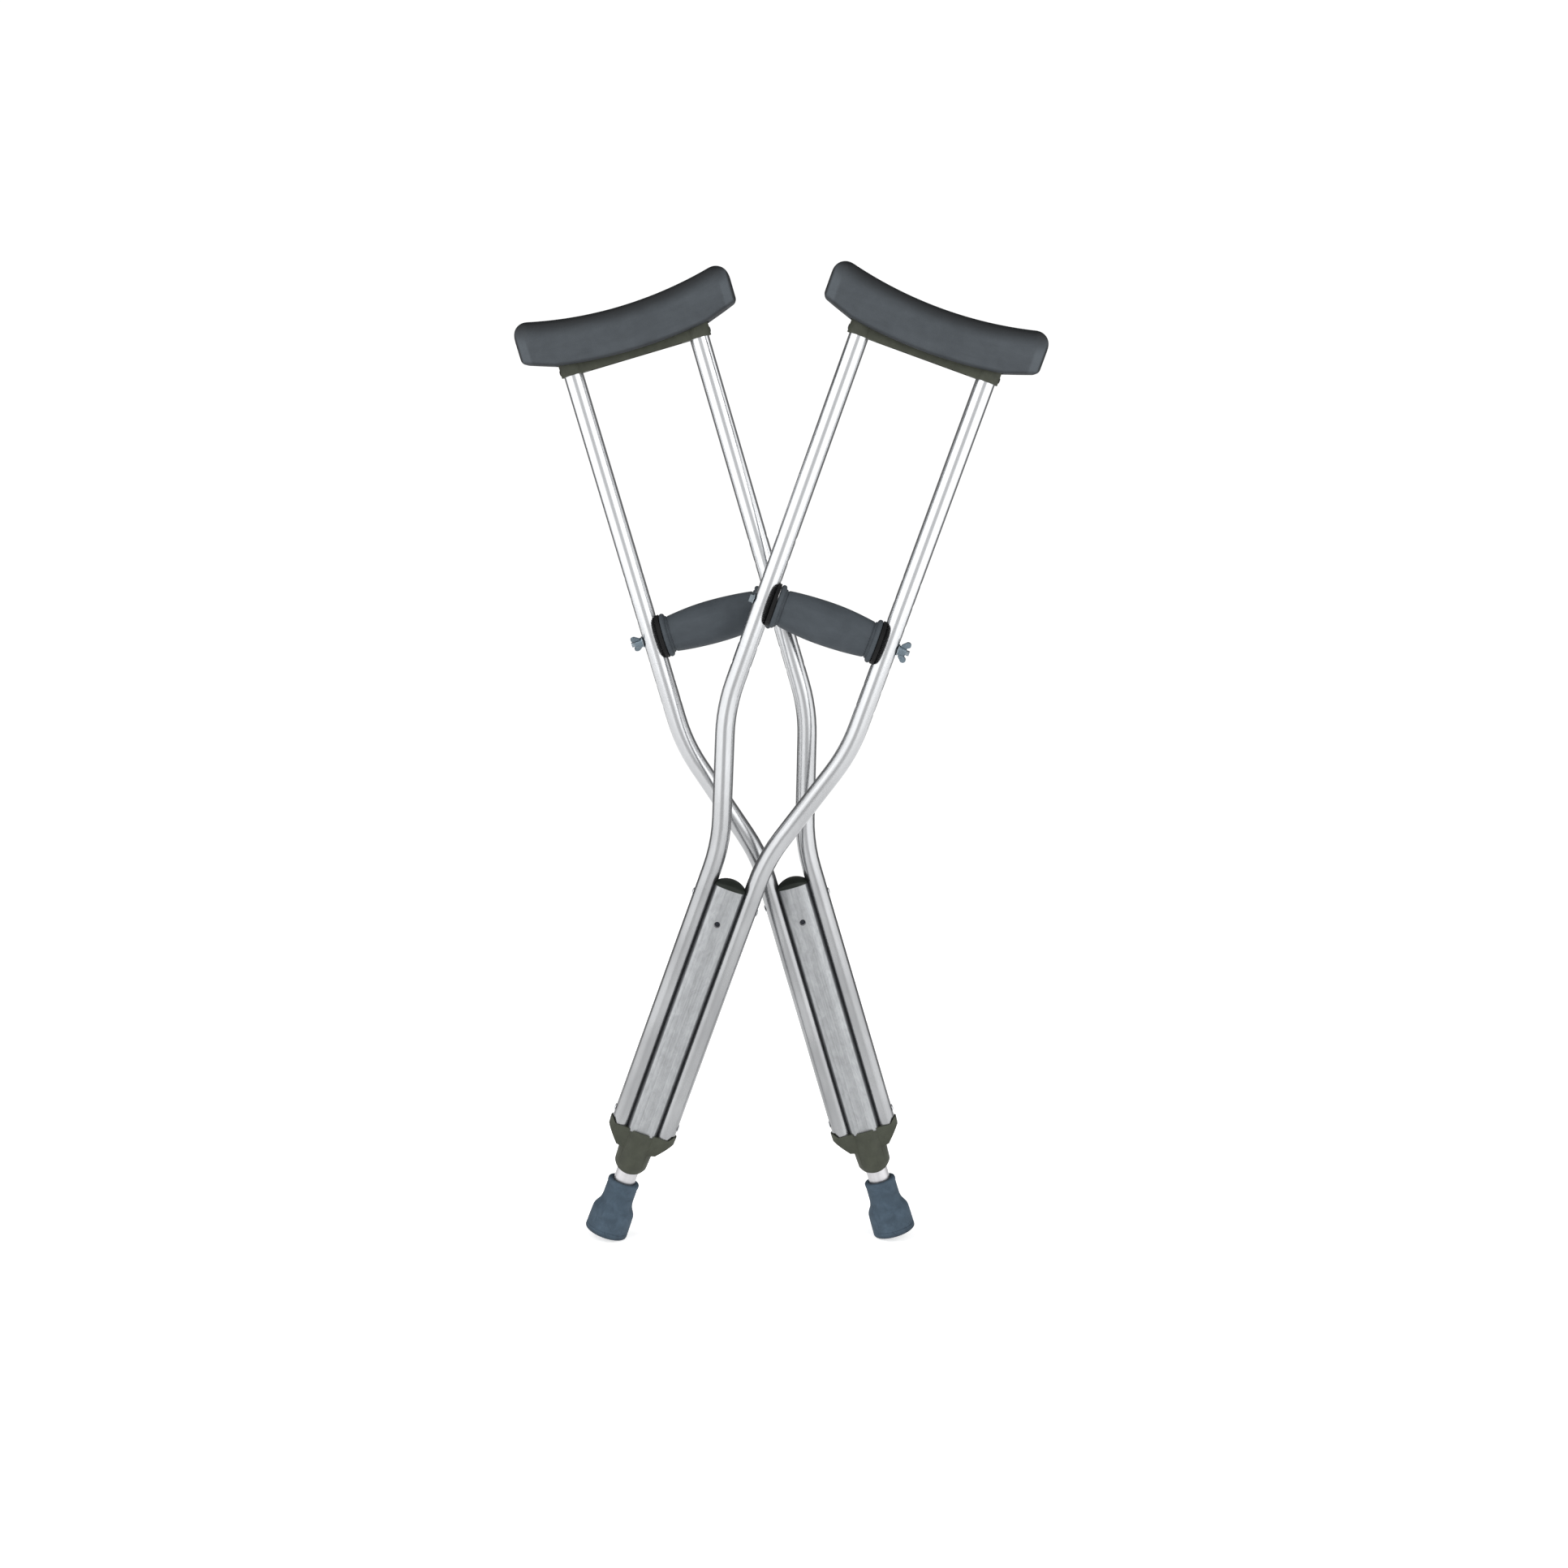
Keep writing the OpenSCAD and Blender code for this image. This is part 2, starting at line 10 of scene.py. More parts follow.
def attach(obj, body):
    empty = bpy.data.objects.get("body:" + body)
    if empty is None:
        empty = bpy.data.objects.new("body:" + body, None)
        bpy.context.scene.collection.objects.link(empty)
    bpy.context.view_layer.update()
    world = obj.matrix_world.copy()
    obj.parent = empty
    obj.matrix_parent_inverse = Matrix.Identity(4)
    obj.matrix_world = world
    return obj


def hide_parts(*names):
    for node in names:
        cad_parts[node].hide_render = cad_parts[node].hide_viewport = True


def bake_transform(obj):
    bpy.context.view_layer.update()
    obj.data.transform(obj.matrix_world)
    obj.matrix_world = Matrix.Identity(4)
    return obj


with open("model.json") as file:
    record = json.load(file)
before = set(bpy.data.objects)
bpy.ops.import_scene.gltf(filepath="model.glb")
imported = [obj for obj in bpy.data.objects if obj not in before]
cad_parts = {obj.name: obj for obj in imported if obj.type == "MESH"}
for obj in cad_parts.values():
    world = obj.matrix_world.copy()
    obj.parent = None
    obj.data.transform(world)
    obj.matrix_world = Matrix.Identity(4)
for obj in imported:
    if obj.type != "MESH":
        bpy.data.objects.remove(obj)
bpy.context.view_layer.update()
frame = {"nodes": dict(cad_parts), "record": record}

# A pair of aluminium underarm crutches, crossed. Shapes are worked out in millimetres in each
# crutch's own upright frame: Z up its axis from the middle of the sole, X to the side with the
# wing nut, Y to the back. `placed` carries them to where the crutch leans.

SOLE_R = 23.5
CRUTCHES = {
    "right": {"lean": math.radians(17), "foot": (-0.152, -0.026), "mirror": 1.0},
    "left": {"lean": math.radians(19), "foot": (0.187, 0.026), "mirror": -1.0},
}
for crutch in CRUTCHES.values():
    crutch["lift"] = SOLE_R / 1000 * math.sin(crutch["lean"])


# ---------------------------------------------------------------- shapes

def placed(points, side):
    """Points in millimetres in the upright frame, turned about Y by the lean, mirrored in X for
    the left crutch, and moved to its foot, in metres."""
    crutch = CRUTCHES[side]
    p = np.asarray(points, float) / 1000
    c, s = math.cos(crutch["lean"]), math.sin(crutch["lean"])
    x = (p[..., 0] * c + p[..., 2] * s) * crutch["mirror"] + crutch["foot"][0]
    y = p[..., 1] + crutch["foot"][1]
    z = p[..., 2] * c - p[..., 0] * s + crutch["lift"]
    return np.stack([x, y, z], -1)


def grid_quads(rows, columns, loop):
    """Quads between neighbours of a grid of points, closed across its columns, and across its
    rows as well where loop is true."""
    r = np.arange(rows if loop else rows - 1)[:, None]
    c = np.arange(columns)[None, :]
    r2, c2 = (r + 1) % rows, (c + 1) % columns
    quads = np.stack([r * columns + c, r * columns + c2, r2 * columns + c2, r2 * columns + c], -1)
    return quads.reshape(-1, 4)


def fan(ring, pole, outwards):
    """Triangles from each pair of neighbours in a ring of indices to the pole."""
    turned = np.roll(ring, -1)
    order = (ring, turned) if outwards else (turned, ring)
    return np.stack([order[0], order[1], np.full_like(ring, pole)], -1)


def piece(name, side, rings, node, body, finish, loop=False, sharp=35, marks=None):
    """A closed surface from an array of rings, rows by columns by 3. The first and the last ring
    are closed with a fan to their middle unless the rings form a loop. Faces point outwards."""
    rows, columns = rings.shape[:2]
    points = rings.reshape(-1, 3)
    faces = grid_quads(rows, columns, loop).tolist()
    if not loop:
        poles = np.stack([rings[0].mean(0), rings[-1].mean(0)])
        points = np.concatenate([points, poles])
        first = np.arange(columns)
        faces += fan(first, rows * columns, False).tolist()
        faces += fan(first + (rows - 1) * columns, rows * columns + 1, True).tolist()
    world = placed(points, side)
    mesh = bpy.data.meshes.new(name)
    mesh.from_pydata(world.tolist(), [], faces)
    mesh.update()
    corners = world[np.array([f[:3] for f in faces])]
    signed = np.einsum("ij,ij->i", corners[:, 0], np.cross(corners[:, 1], corners[:, 2])).sum()
    quads = np.array([f for f in faces if len(f) == 4])
    rest = world[quads[:, [0, 2, 3]]]
    signed += np.einsum("ij,ij->i", rest[:, 0], np.cross(rest[:, 1], rest[:, 2])).sum()
    if signed < 0:
        mesh.flip_normals()
    mesh.shade_smooth()
    mesh.set_sharp_from_angle(angle=math.radians(sharp))
    for key, values in (marks or {}).items():
        spread = np.asarray(values, float).reshape(-1)
        if not loop:
            ends = [np.mean(values[0]), np.mean(values[-1])]
            spread = np.concatenate([spread, ends])
        mesh.attributes.new(key, "FLOAT", "POINT").data.foreach_set("value", spread)
    mesh.materials.append(finish)
    obj = bpy.data.objects.new(name, mesh)
    bpy.context.scene.collection.objects.link(obj)
    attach(obj, f"{side}_{body}")
    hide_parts(f"{side}_{node}")
    return obj


def step(x, low, high):
    """0 below low, 1 above high, and a smooth cubic rise between them."""
    t = np.clip((x - low) / (high - low), 0, 1)
    return t * t * (3 - 2 * t)


def soft_min(a, b, k):
    """The smaller of a and b, with the corner between them rounded over a width k."""
    h = np.clip(0.5 + 0.5 * (b - a) / k, 0, 1)
    return b + (a - b) * h - k * h * (1 - h)


# Underarm cushion
PAD_HALF = 125
PAD_DEPTH_HALF = 24
PAD_TOP_MID, PAD_TOP_R = 1120, 455.1
PAD_UNDER_Z, PAD_UNDER_R = 1070, 542
PAD_TURN_X, PAD_END_RISE = 88, math.tan(math.radians(18.5))
PAD_TOP_CORNER = 20
PAD_LOW_CORNER = 5
PAD_END_CORNER = 4
PAD_TOP_EDGE, PAD_LOW_EDGE = 6.5, 4.0
PAD_CHAMFER_X, PAD_CHAMFER_SLOPE = 110, 0.62
CHANNEL_HALF_WIDTH, CHANNEL_HALF_LENGTH, CHANNEL_DEPTH = 14.2, 88, 8


def corner_drop(reach, radius):
    """How far a rounded corner lies inside the outline, reach mm from where it begins."""
    inside = np.clip(reach, 0, radius)
    return radius - np.sqrt(radius * radius - inside * inside)


def cushion_top(x):
    """A shallow arc that is lowest in the middle."""
    return PAD_TOP_MID + PAD_TOP_R - np.sqrt(PAD_TOP_R ** 2 - x ** 2)


def cushion_under(x):
    """A shallow arc over the bracket, and a straight rise beyond it."""
    near = np.minimum(np.abs(x), PAD_TURN_X)
    arc = PAD_UNDER_Z + PAD_UNDER_R - np.sqrt(PAD_UNDER_R ** 2 - near ** 2)
    return arc + (np.abs(x) - near) * PAD_END_RISE


def cushion_outline(x):
    """Height of the underside and of the top at each x with their corners rounded, and the half
    depth there: in plan a flat front that turns in along a short chamfer at each end."""
    away = np.abs(x)
    top = cushion_top(x) - corner_drop(away - (PAD_HALF - PAD_TOP_CORNER), PAD_TOP_CORNER)
    low = cushion_under(x) + corner_drop(away - (PAD_HALF - PAD_LOW_CORNER), PAD_LOW_CORNER)
    chamfer = PAD_DEPTH_HALF - PAD_CHAMFER_SLOPE * (away - PAD_CHAMFER_X)
    half = soft_min(np.full_like(x, PAD_DEPTH_HALF), chamfer, 2.0)
    half = half - corner_drop(away - (PAD_HALF - PAD_END_CORNER), PAD_END_CORNER)
    return low, top, half


def cushion_section():
    """One ring round the cushion, from the back's lower corner over the top to the front and
    under it. Each column is a point: its place (across -1 to 1, up -1 to 1), its step outwards
    in an edge's radius (out, lift), and 1 in the channel for the bracket, -1 on the channel's
    lips and 0 elsewhere."""
    turn = np.linspace(0, np.pi / 2, 9)
    side = np.linspace(-1, 1, 15)[1:-1]
    over = np.linspace(1, -1, 13)[1:-1]
    rows = [(1, -1, math.sin(t), -math.cos(t), 0) for t in turn]
    rows += [(1, u, 1, 0, 0) for u in side]
    rows += [(1, 1, math.cos(t), math.sin(t), 0) for t in turn]
    rows += [(a, 1, 0, 1, 0) for a in over]
    rows += [(-1, 1, -math.sin(t), math.cos(t), 0) for t in turn]
    rows += [(-1, -u, -1, 0, 0) for u in side]
    rows += [(-1, -1, -math.cos(t), -math.sin(t), 0) for t in turn]
    rows += [(a, -1, 0, -1, raised) for a, raised in
             ((-1.02, -1), (-1, 1), (-0.5, 1), (0, 1), (0.5, 1), (1, 1), (1.02, -1))]
    return np.array(rows).T


def cushion_rings():
    """Rings along X. Each is a rectangle with rounded corners whose front and back are crowned:
    half depth times 1 less a part of the height fraction squared. Its underside has a channel
    for the bracket, and low waves keep the foam from being perfectly even."""
    ends = PAD_HALF - PAD_TOP_CORNER + PAD_TOP_CORNER * np.sin(np.linspace(0, np.pi / 2, 22))
    middle = np.linspace(0, PAD_HALF - PAD_TOP_CORNER, 34)[:-1]
    channel_ends = CHANNEL_HALF_LENGTH + np.array([-0.5, 0.5])
    half_x = np.unique(np.concatenate([middle, channel_ends, ends]))
    x = np.concatenate([-half_x[:0:-1], half_x])[:, None]
    low, top, half = cushion_outline(x)
    shrink = np.clip(np.minimum(top - low, 2 * half) / 40, 0.15, 1)
    across, up, out, lift, raised = cushion_section()[:, None, :]
    radius = np.where(up > 0, PAD_TOP_EDGE, PAD_LOW_EDGE) * shrink
    underneath = raised != 0
    channel_half = np.minimum(CHANNEL_HALF_WIDTH, half - radius - 0.3)
    y = np.where(underneath, across * channel_half, across * (half - radius) + out * radius)
    level = np.where(up > 0, top - radius, low + radius)
    mid_low, mid_top = low + PAD_LOW_EDGE * shrink, top - PAD_TOP_EDGE * shrink
    between = mid_low + (up + 1) / 2 * (mid_top - mid_low)
    z = np.where(np.abs(up) < 1, between, level + lift * radius)
    in_channel = (raised > 0) & (np.abs(x) < CHANNEL_HALF_LENGTH)
    z = np.where(in_channel, cushion_under(x) + CHANNEL_DEPTH, z)
    rise = (z - (low + top) / 2) / ((top - low) / 2)
    y = y * (1 - 0.05 * np.clip(rise, -1, 1) ** 2)
    waves = np.sin(x / 17.3 + 0.4) * np.sin(z / 9.1) + 0.6 * np.sin(x / 7.9 + z / 13)
    y = y + np.sign(y) * np.where(np.abs(y) > 16, 0.14 * waves - 0.25, 0)
    rings = np.stack([np.broadcast_to(x, y.shape), y, z], -1)
    return np.concatenate([end_rows(rings[0])[::-1], rings, end_rows(rings[-1])])


def end_rows(ring):
    """Rings that draw an end face in to its middle."""
    middle = ring.mean(0)
    share = np.array([0.97, 0.8, 0.55, 0.3, 0.1])[:, None, None]
    return middle + (ring - middle) * share


def cushion_marks(rings):
    """Where painted shade makes the cushion dark, along its top and lower edges and at the rim of
    its ends, and where a painted highlight makes the chamfers beside its ends pale."""
    x, z = rings[..., 0], rings[..., 2]
    # painted shade: dark along the top and lower edges and at the rim of the ends
    upper = 1 - step(cushion_top(x) - z, 2.0, 21.0)
    lower = 0.6 * (1 - step(z - cushion_under(x), 0.5, 4.5))
    rim = 0.9 * step(np.abs(x), 121, 124)
    return {"upper": np.maximum(np.maximum(upper, lower), rim),
            # painted highlight: paler on the chamfers beside the ends
            "ends": step(np.abs(x), 111, 114) * (1 - step(np.abs(x), 121, 124))
            * (1 - step(z - cushion_under(x), 20, 34))}


# Hand grip
GRIP_Z = 754
GRIP_HALF = 60
GRIP_BODY_HALF, GRIP_BODY_END = 54, 0.93
GRIP_BORE_R = 6.6
GRIP_END_R, GRIP_MID_R = 20.2, 24.6
FLANGE_R, FLANGE_ROUND = 25.2, 3
GRIP_STEPS = 128


def turned(profile, steps, along_x=None):
    """A profile of (radius, distance) rows carried round an axis: Z, or X at height along_x."""
    angle = np.linspace(0, 2 * np.pi, steps, endpoint=False)[None, :]
    r, d = profile[:, 0][:, None], profile[:, 1][:, None]
    across, over = r * np.cos(angle), r * np.sin(angle)
    d = np.broadcast_to(d, across.shape)
    if along_x is None:
        return np.stack([across, over, d], -1)
    return np.stack([d, over, across + along_x], -1)


def grip_rings():
    """A crowned body, radius falling with the square of the distance from its middle, with a
    fine groove, a collar and a rounded flange at each end, and a straight bore."""
    share = np.linspace(0, GRIP_BODY_END, 40)
    body = [GRIP_END_R + (GRIP_MID_R - GRIP_END_R) * (1 - share ** 2), share * GRIP_BODY_HALF]
    groove = [[20.3, 50.6], [20.05, 50.9], [20.0, 51.3], [20.1, 51.7]]
    collar = [[20.7, 51.9], [21.1, 52.2], [21.3, 52.7], [21.3, 53.3], [21.45, 53.7]]
    turn = np.linspace(-1.45, 1.571, 13)
    flange = [FLANGE_R - FLANGE_ROUND + FLANGE_ROUND * np.cos(turn),
              GRIP_HALF - FLANGE_ROUND + FLANGE_ROUND * np.sin(turn)]
    face = [[r, GRIP_HALF] for r in (18, 13, 9, GRIP_BORE_R + 0.4)]
    bore = [[GRIP_BORE_R, x] for x in (GRIP_HALF - 0.4, 40, 20)]
    half = np.concatenate([np.stack(body, 1), groove, collar, np.stack(flange, 1), face, bore])
    other = half[:0:-1] * [1, -1]
    profile = np.concatenate([half, [[GRIP_BORE_R, 0]], other])
    rings = turned(profile, GRIP_STEPS, GRIP_Z)
    # a moulding line along the underside, and a body that isn't perfectly round
    angle = np.linspace(0, 2 * np.pi, GRIP_STEPS, endpoint=False)
    radius = np.hypot(rings[..., 1], rings[..., 2] - GRIP_Z)
    on_body = (radius > 19) & (np.abs(rings[..., 0]) < 50)
    from_below = np.angle(np.exp(1j * (angle - math.pi)))
    line = 0.22 * np.exp(-(from_below / 0.03) ** 2)
    uneven = 0.1 * np.sin(3 * angle[None, :] + rings[..., 0] / 11)
    scale = 1 + on_body * (line[None, :] + uneven) / radius
    rings[..., 1] *= scale
    rings[..., 2] = GRIP_Z + (rings[..., 2] - GRIP_Z) * scale
    return rings


# Rubber tip
TIP_STEPS = 120
BOSS_Z, BOSS_HEIGHT = 17, 0.7


def tip_rings():
    """A wide base with a tread of round grooves, drawn in over a shoulder to a neck with a soft
    rim, and a socket for the leg. A blank round boss stands out on the front of the base."""
    tread = [[0.6, 0.9], [2.6, 0.9], [3.2, 0], [6.6, 0], [7.2, 1.1], [9.2, 1.1], [9.8, 0], [13, 0],
             [13.6, 1.1], [15.4, 1.1], [16, 0], [19, 0], [19.5, 0.9], [20.7, 0.9], [21.2, 0],
             [23.2, 0]]
    base = [[23.9, 0.35], [24.6, 1.0], [24.95, 1.9], [25, 3.5], [24.95, 6], [24.4, 6.5],
            [24.4, 7.3], [24.9, 7.8], [24.85, 12], [24.75, 18], [24.6, 24], [24.4, 27]]
    shoulder = [[23.9, 29.2], [23.2, 30.8], [22.2, 32.6], [20.8, 35], [19.7, 37], [19.0, 39],
                [18.5, 41.5], [18.2, 44]]
    neck = [[18.1, 48], [18.05, 53], [18.0, 58], [18.0, 60.6], [18.35, 61.2], [18.5, 62.2],
            [18.5, 63.8], [18.35, 65], [17.9, 65.7], [17.2, 66], [14.6, 66], [13.6, 65.7]]
    socket = [[12.85, 64.6], [12.76, 62], [12.76, 30], [12.76, 9], [12.3, 8.4], [6, 8.4], [1, 8.4]]
    rings = turned(np.array(tread + base + shoulder + neck + socket), TIP_STEPS)
    angle = np.linspace(0, 2 * np.pi, TIP_STEPS, endpoint=False)[None, :]
    radius = np.hypot(rings[..., 0], rings[..., 1])
    from_front = np.angle(np.exp(1j * (angle + math.pi / 2))) * 24
    away = np.hypot(from_front, rings[..., 2] - BOSS_Z)
    boss = BOSS_HEIGHT * (1 - step(away, 3.2, 4.4)) * (radius > 22)
    scale = 1 + boss / np.maximum(radius, 1)
    rings[..., 0] *= scale
    rings[..., 1] *= scale
    return rings


def dense(rings, along):
    """The same rings with straight rows put in between, so that a small detail has points."""
    out = []
    for i in range(len(rings) - 1):
        parts = max(1, int(np.ceil(np.abs(rings[i + 1] - rings[i]).max() / along)))
        t = np.linspace(0, 1, parts, endpoint=False)[:, None, None]
        out.append(rings[i] * (1 - t) + rings[i + 1] * t)
    out.append(rings[-1:])
    return np.concatenate(out)


# ---------------------------------------------------------------- finishes

class Value:
    """A number or colour that changes over a surface. Arithmetic on it adds Math nodes."""

    def __init__(self, tree, socket):
        self.tree, self.socket = tree, socket

    def _maths(self, operation, *parts):
        return self.tree.add("ShaderNodeMath", {"operation": operation}, dict(enumerate(parts)))

    def __add__(self, other):
        return self._maths("ADD", self, other)

    __radd__ = __add__

    def __sub__(self, other):
        return self._maths("SUBTRACT", self, other)

    def __rsub__(self, other):
        return self._maths("SUBTRACT", other, self)

    def __mul__(self, other):
        return self._maths("MULTIPLY", self, other)

    __rmul__ = __mul__

    def __truediv__(self, other):
        return self._maths("DIVIDE", self, other)

    def __pow__(self, other):
        return self._maths("POWER", self, other)

    def between(self, low, high, start=0.0, end=1.0):
        """start below low, end above high, straight between them."""
        return self.tree.add("ShaderNodeMapRange", {"clamp": True},
                             {"Value": self, "From Min": low, "From Max": high,
                              "To Min": start, "To Max": end})


class Tree:
    """The node tree of a material or of the world."""

    def __init__(self, owner):
        owner.use_nodes = True
        self.nodes = owner.node_tree.nodes
        self.links = owner.node_tree.links

    def put(self, socket, value):
        """A link from a Value, or a fixed number, vector or colour."""
        if isinstance(value, Value):
            self.links.new(value.socket, socket)
        elif hasattr(value, "__len__") and len(value) == 3 and socket.type == "RGBA":
            socket.default_value = (*value, 1)
        else:
            socket.default_value = value

    def add(self, kind, settings, inputs, output=0):
        """A node of that type with its settings, then its inputs by name or place."""
        node = self.nodes.new(kind)
        for key, value in settings.items():
            if key == "stops":
                ramp = node.color_ramp
                while len(ramp.elements) < len(value):
                    ramp.elements.new(0.5)
                for element, (at, shade) in zip(ramp.elements, value):
                    element.position = at
                    element.color = (shade, shade, shade, 1)
            else:
                setattr(node, key, value)
        for key, value in inputs.items():
            self.put(node.inputs[key], value)
        return Value(self, node.outputs[output])

    def mix(self, share, one, two):
        """Colour one where share is 0, two where it is 1."""
        node = self.nodes.new("ShaderNodeMix")
        node.data_type = "RGBA"
        for place, value in ((0, share), (6, one), (7, two)):
            self.put(node.inputs[place], value)
        return Value(self, node.outputs[2])


class Finish(Tree):
    """A material of one crutch. Its patterns lie in that crutch's own upright frame."""

    def __init__(self, name, side, **fixed):
        self.material = bpy.data.materials.new(f"{name}_{side}")
        super().__init__(self.material)
        self.shader = self.nodes["Principled BSDF"]
        for key, value in fixed.items():
            self.put(self.shader.inputs[key.replace("_", " ")], value)
        crutch = CRUTCHES[side]
        where = self.add("ShaderNodeTexCoord", {}, {}, "Object")
        self.place = self.add(
            "ShaderNodeMapping", {"vector_type": "TEXTURE"},
            {"Vector": where, "Location": (*crutch["foot"], crutch["lift"]),
             "Rotation": (0, crutch["lean"] * crutch["mirror"], 0)})

    def stretched(self, x, y, z):
        """The crutch's own coordinates times x, y and z, in repeats per metre."""
        return self.add("ShaderNodeVectorMath", {"operation": "MULTIPLY"},
                        {0: self.place, 1: (x, y, z)})

    def noise(self, scale, detail, rough=0.5, warp=0.0):
        """Cloudy noise, about 0.3 to 0.7, with that many blobs per metre each way."""
        return self.add("ShaderNodeTexNoise", {},
                        {"Vector": self.stretched(*scale), "Scale": 1.0, "Detail": detail,
                         "Roughness": rough, "Distortion": warp})

    def cells(self, scale, feature="F1"):
        """Distance in cells, with that many cells per metre."""
        return self.add("ShaderNodeTexVoronoi", {"feature": feature},
                        {"Vector": self.stretched(scale, scale, scale), "Scale": 1.0})

    def axis(self, name):
        """Distance along one of the crutch's axes, in metres."""
        return self.add("ShaderNodeSeparateXYZ", {}, {0: self.place}, name)

    def mark(self, name):
        """A number that the mesh holds for each of its points."""
        return self.add("ShaderNodeAttribute", {"attribute_name": name}, {}, "Fac")

    def bump(self, height, depth, strength=1.0):
        """Relief of that depth in metres."""
        return self.add("ShaderNodeBump", {},
                        {"Height": height, "Distance": depth, "Strength": strength})

    def show(self, **linked):
        """The finished material, with these inputs of its shader linked."""
        for key, value in linked.items():
            self.put(self.shader.inputs[key.replace("_", " ")], value)
        return self.material


# painted shade: the dark colour laid along the seams where the side tubes meet the centre tube,
# and how much of it covers them
SEAM_SHADE = (0.045, 0.048, 0.053)
SEAM_SHADE_COVER, SEAM_ROUGH = 0.86, 0.3


def tint(colour, factor):
    """The colour made lighter or darker."""
    return tuple(min(1.0, c * factor) for c in colour)


def drawn_aluminium(name, side, colour, rough, streak, dull, reach, grooved=False):
    """Bright drawn tube: fine lines along it, hazy patches, and short handling scratches. reach is
    a stretch of height where another piece slides and rubs. A grooved tube is darker and a little
    rougher towards its foot, the darkness being painted shade for the darker reflections low down,
    and has a dark line of painted shade along the seam beside the centre tube."""
    f = Finish(name, side, Metallic=1.0)
    lines = f.noise((900, 900, 5), 2.0, 0.6)
    fine = f.noise((2600, 2600, 60), 1.0)
    scratches = f.noise((340, 340, 34), 4.0, 0.7, 1.4).between(0.63, 0.72)
    haze = f.noise((22, 22, 9), 3.0).between(0.35, 0.7)
    z = f.axis("Z")
    low, high = reach
    near = z.between(low, low + 0.02) * z.between(high - 0.02, high, 1.0, 0.0)
    ring_marks = f.noise((30, 30, 700), 2.0, 0.7).between(0.55, 0.75)
    rubbed = scratches * 0.5 + near * ring_marks * 0.6
    shade = lines.between(0.3, 0.7) * streak + haze * dull
    base = f.mix(shade, tint(colour, 1.04), tint(colour, 0.82))
    base = f.mix(rubbed * 0.35, base, tint(colour, 0.6))
    roughness = haze * 0.07 + lines * 0.08 + rubbed * 0.14 + rough
    if grooved:
        # painted shade: the tube's colour darkens towards its foot, standing in for the darker
        # reflections there
        lower_tube_shade = z.between(0.42, 0.80, 1.0, 0.0)
        base = f.mix(lower_tube_shade * (0.7 + haze * 0.3), base, tint(colour, 0.44))
        # painted shade: a dark line along the seam beside the centre tube
        beside = (f.axis("X") ** 2).between(0.0160 ** 2, 0.0185 ** 2, 1.0, 0.0)
        seam_shade = beside * z.between(0.432, 0.452, 1.0, 0.0)
        base = f.mix(seam_shade * SEAM_SHADE_COVER, base, SEAM_SHADE)
        roughness = roughness + lower_tube_shade * 0.05 + seam_shade * SEAM_ROUGH
    relief = lines * 0.6 + fine * 0.4 - rubbed * 0.8
    return f.show(Base_Color=base, Roughness=roughness, Normal=f.bump(relief, 0.00003, 0.35))


def cast_metal(name, side, colour, rough, grain):
    """Plated or cast small part: mottled plating, grain and darker dull spots."""
    f = Finish(name, side, Metallic=1.0)
    mottle = f.noise((260, 260, 260), 4.0, 0.6)
    pits = f.noise((1700, 1700, 1700), 3.0, 0.65)
    spots = mottle.between(0.56, 0.7)
    base = f.mix(mottle.between(0.3, 0.7), tint(colour, 0.78), tint(colour, 1.12))
    base = f.mix(spots * 0.5, base, tint(colour, 0.45))
    return f.show(Base_Color=base, Roughness=spots * 0.15 + pits * 0.16 + rough,
                  Normal=f.bump(pits, grain, 0.6))


def moulded(name, side, colour, rough, grain, mottle=0.3, specular=0.35, worn=0.0):
    """Moulded plastic: leathery grain, soft cloudy colour, scuffs that are paler and duller."""
    f = Finish(name, side, Specular_IOR_Level=specular)
    cloud = f.noise((55, 55, 55), 4.0, 0.6)
    grit = f.noise((1500, 1500, 1500), 3.0, 0.6)
    pores = f.cells(1300)
    scuff = f.noise((420, 420, 90), 4.0, 0.75, 1.0).between(0.6, 0.72)
    shade = cloud.between(0.32, 0.68) * mottle + grit * 0.25
    base = f.mix(shade, tint(colour, 1.18), tint(colour, 0.7))
    base = f.mix(scuff * (0.12 + worn), base, tint(colour, 2.4))
    return f.show(Base_Color=base, Roughness=cloud * 0.12 + scuff * 0.14 + rough,
                  Normal=f.bump(grit * 0.5 + pores * 0.5, grain, 0.5))


def foam_skin(name, side, colour, specular):
    """Skinned moulded foam: a fine wrinkled grain over wider soft waves. It is paler where a
    painted highlight lies on its end chamfers, at the marks called ends, and nearly black and
    smoother along its edges, at the edge marks, as painted shade."""
    f = Finish(name, side, Specular_IOR_Level=specular)
    cloud = f.noise((34, 34, 34), 4.0, 0.62, 0.4)
    streaks = f.noise((14, 60, 60), 3.0, 0.6, 0.6)
    grain = f.noise((900, 900, 900), 4.0, 0.65, 0.3)
    skin = f.cells(620, "DISTANCE_TO_EDGE")
    upper, ends = f.mark("upper"), f.mark("ends")
    dark = cloud.between(0.3, 0.7) * 0.34 + streaks.between(0.35, 0.7) * 0.3 + grain * 0.24
    base = f.mix(dark, tint(colour, 1.28), tint(colour, 0.72))
    # painted highlight: paler on the end chamfers
    base = f.mix(ends * 0.45, base, tint(colour, 1.9))
    # painted shade: nearly black along the edges
    base = f.mix(upper * 0.93, base, tint(colour, 0.1))
    rough = 0.6 + cloud * 0.14 + grain * 0.1 - upper * 0.16
    height = grain * 0.55 + skin.between(0.0, 0.35) * 0.6 + streaks * 1.5
    return f.show(Base_Color=base, Roughness=rough, Normal=f.bump(height, 0.00012, 0.42))


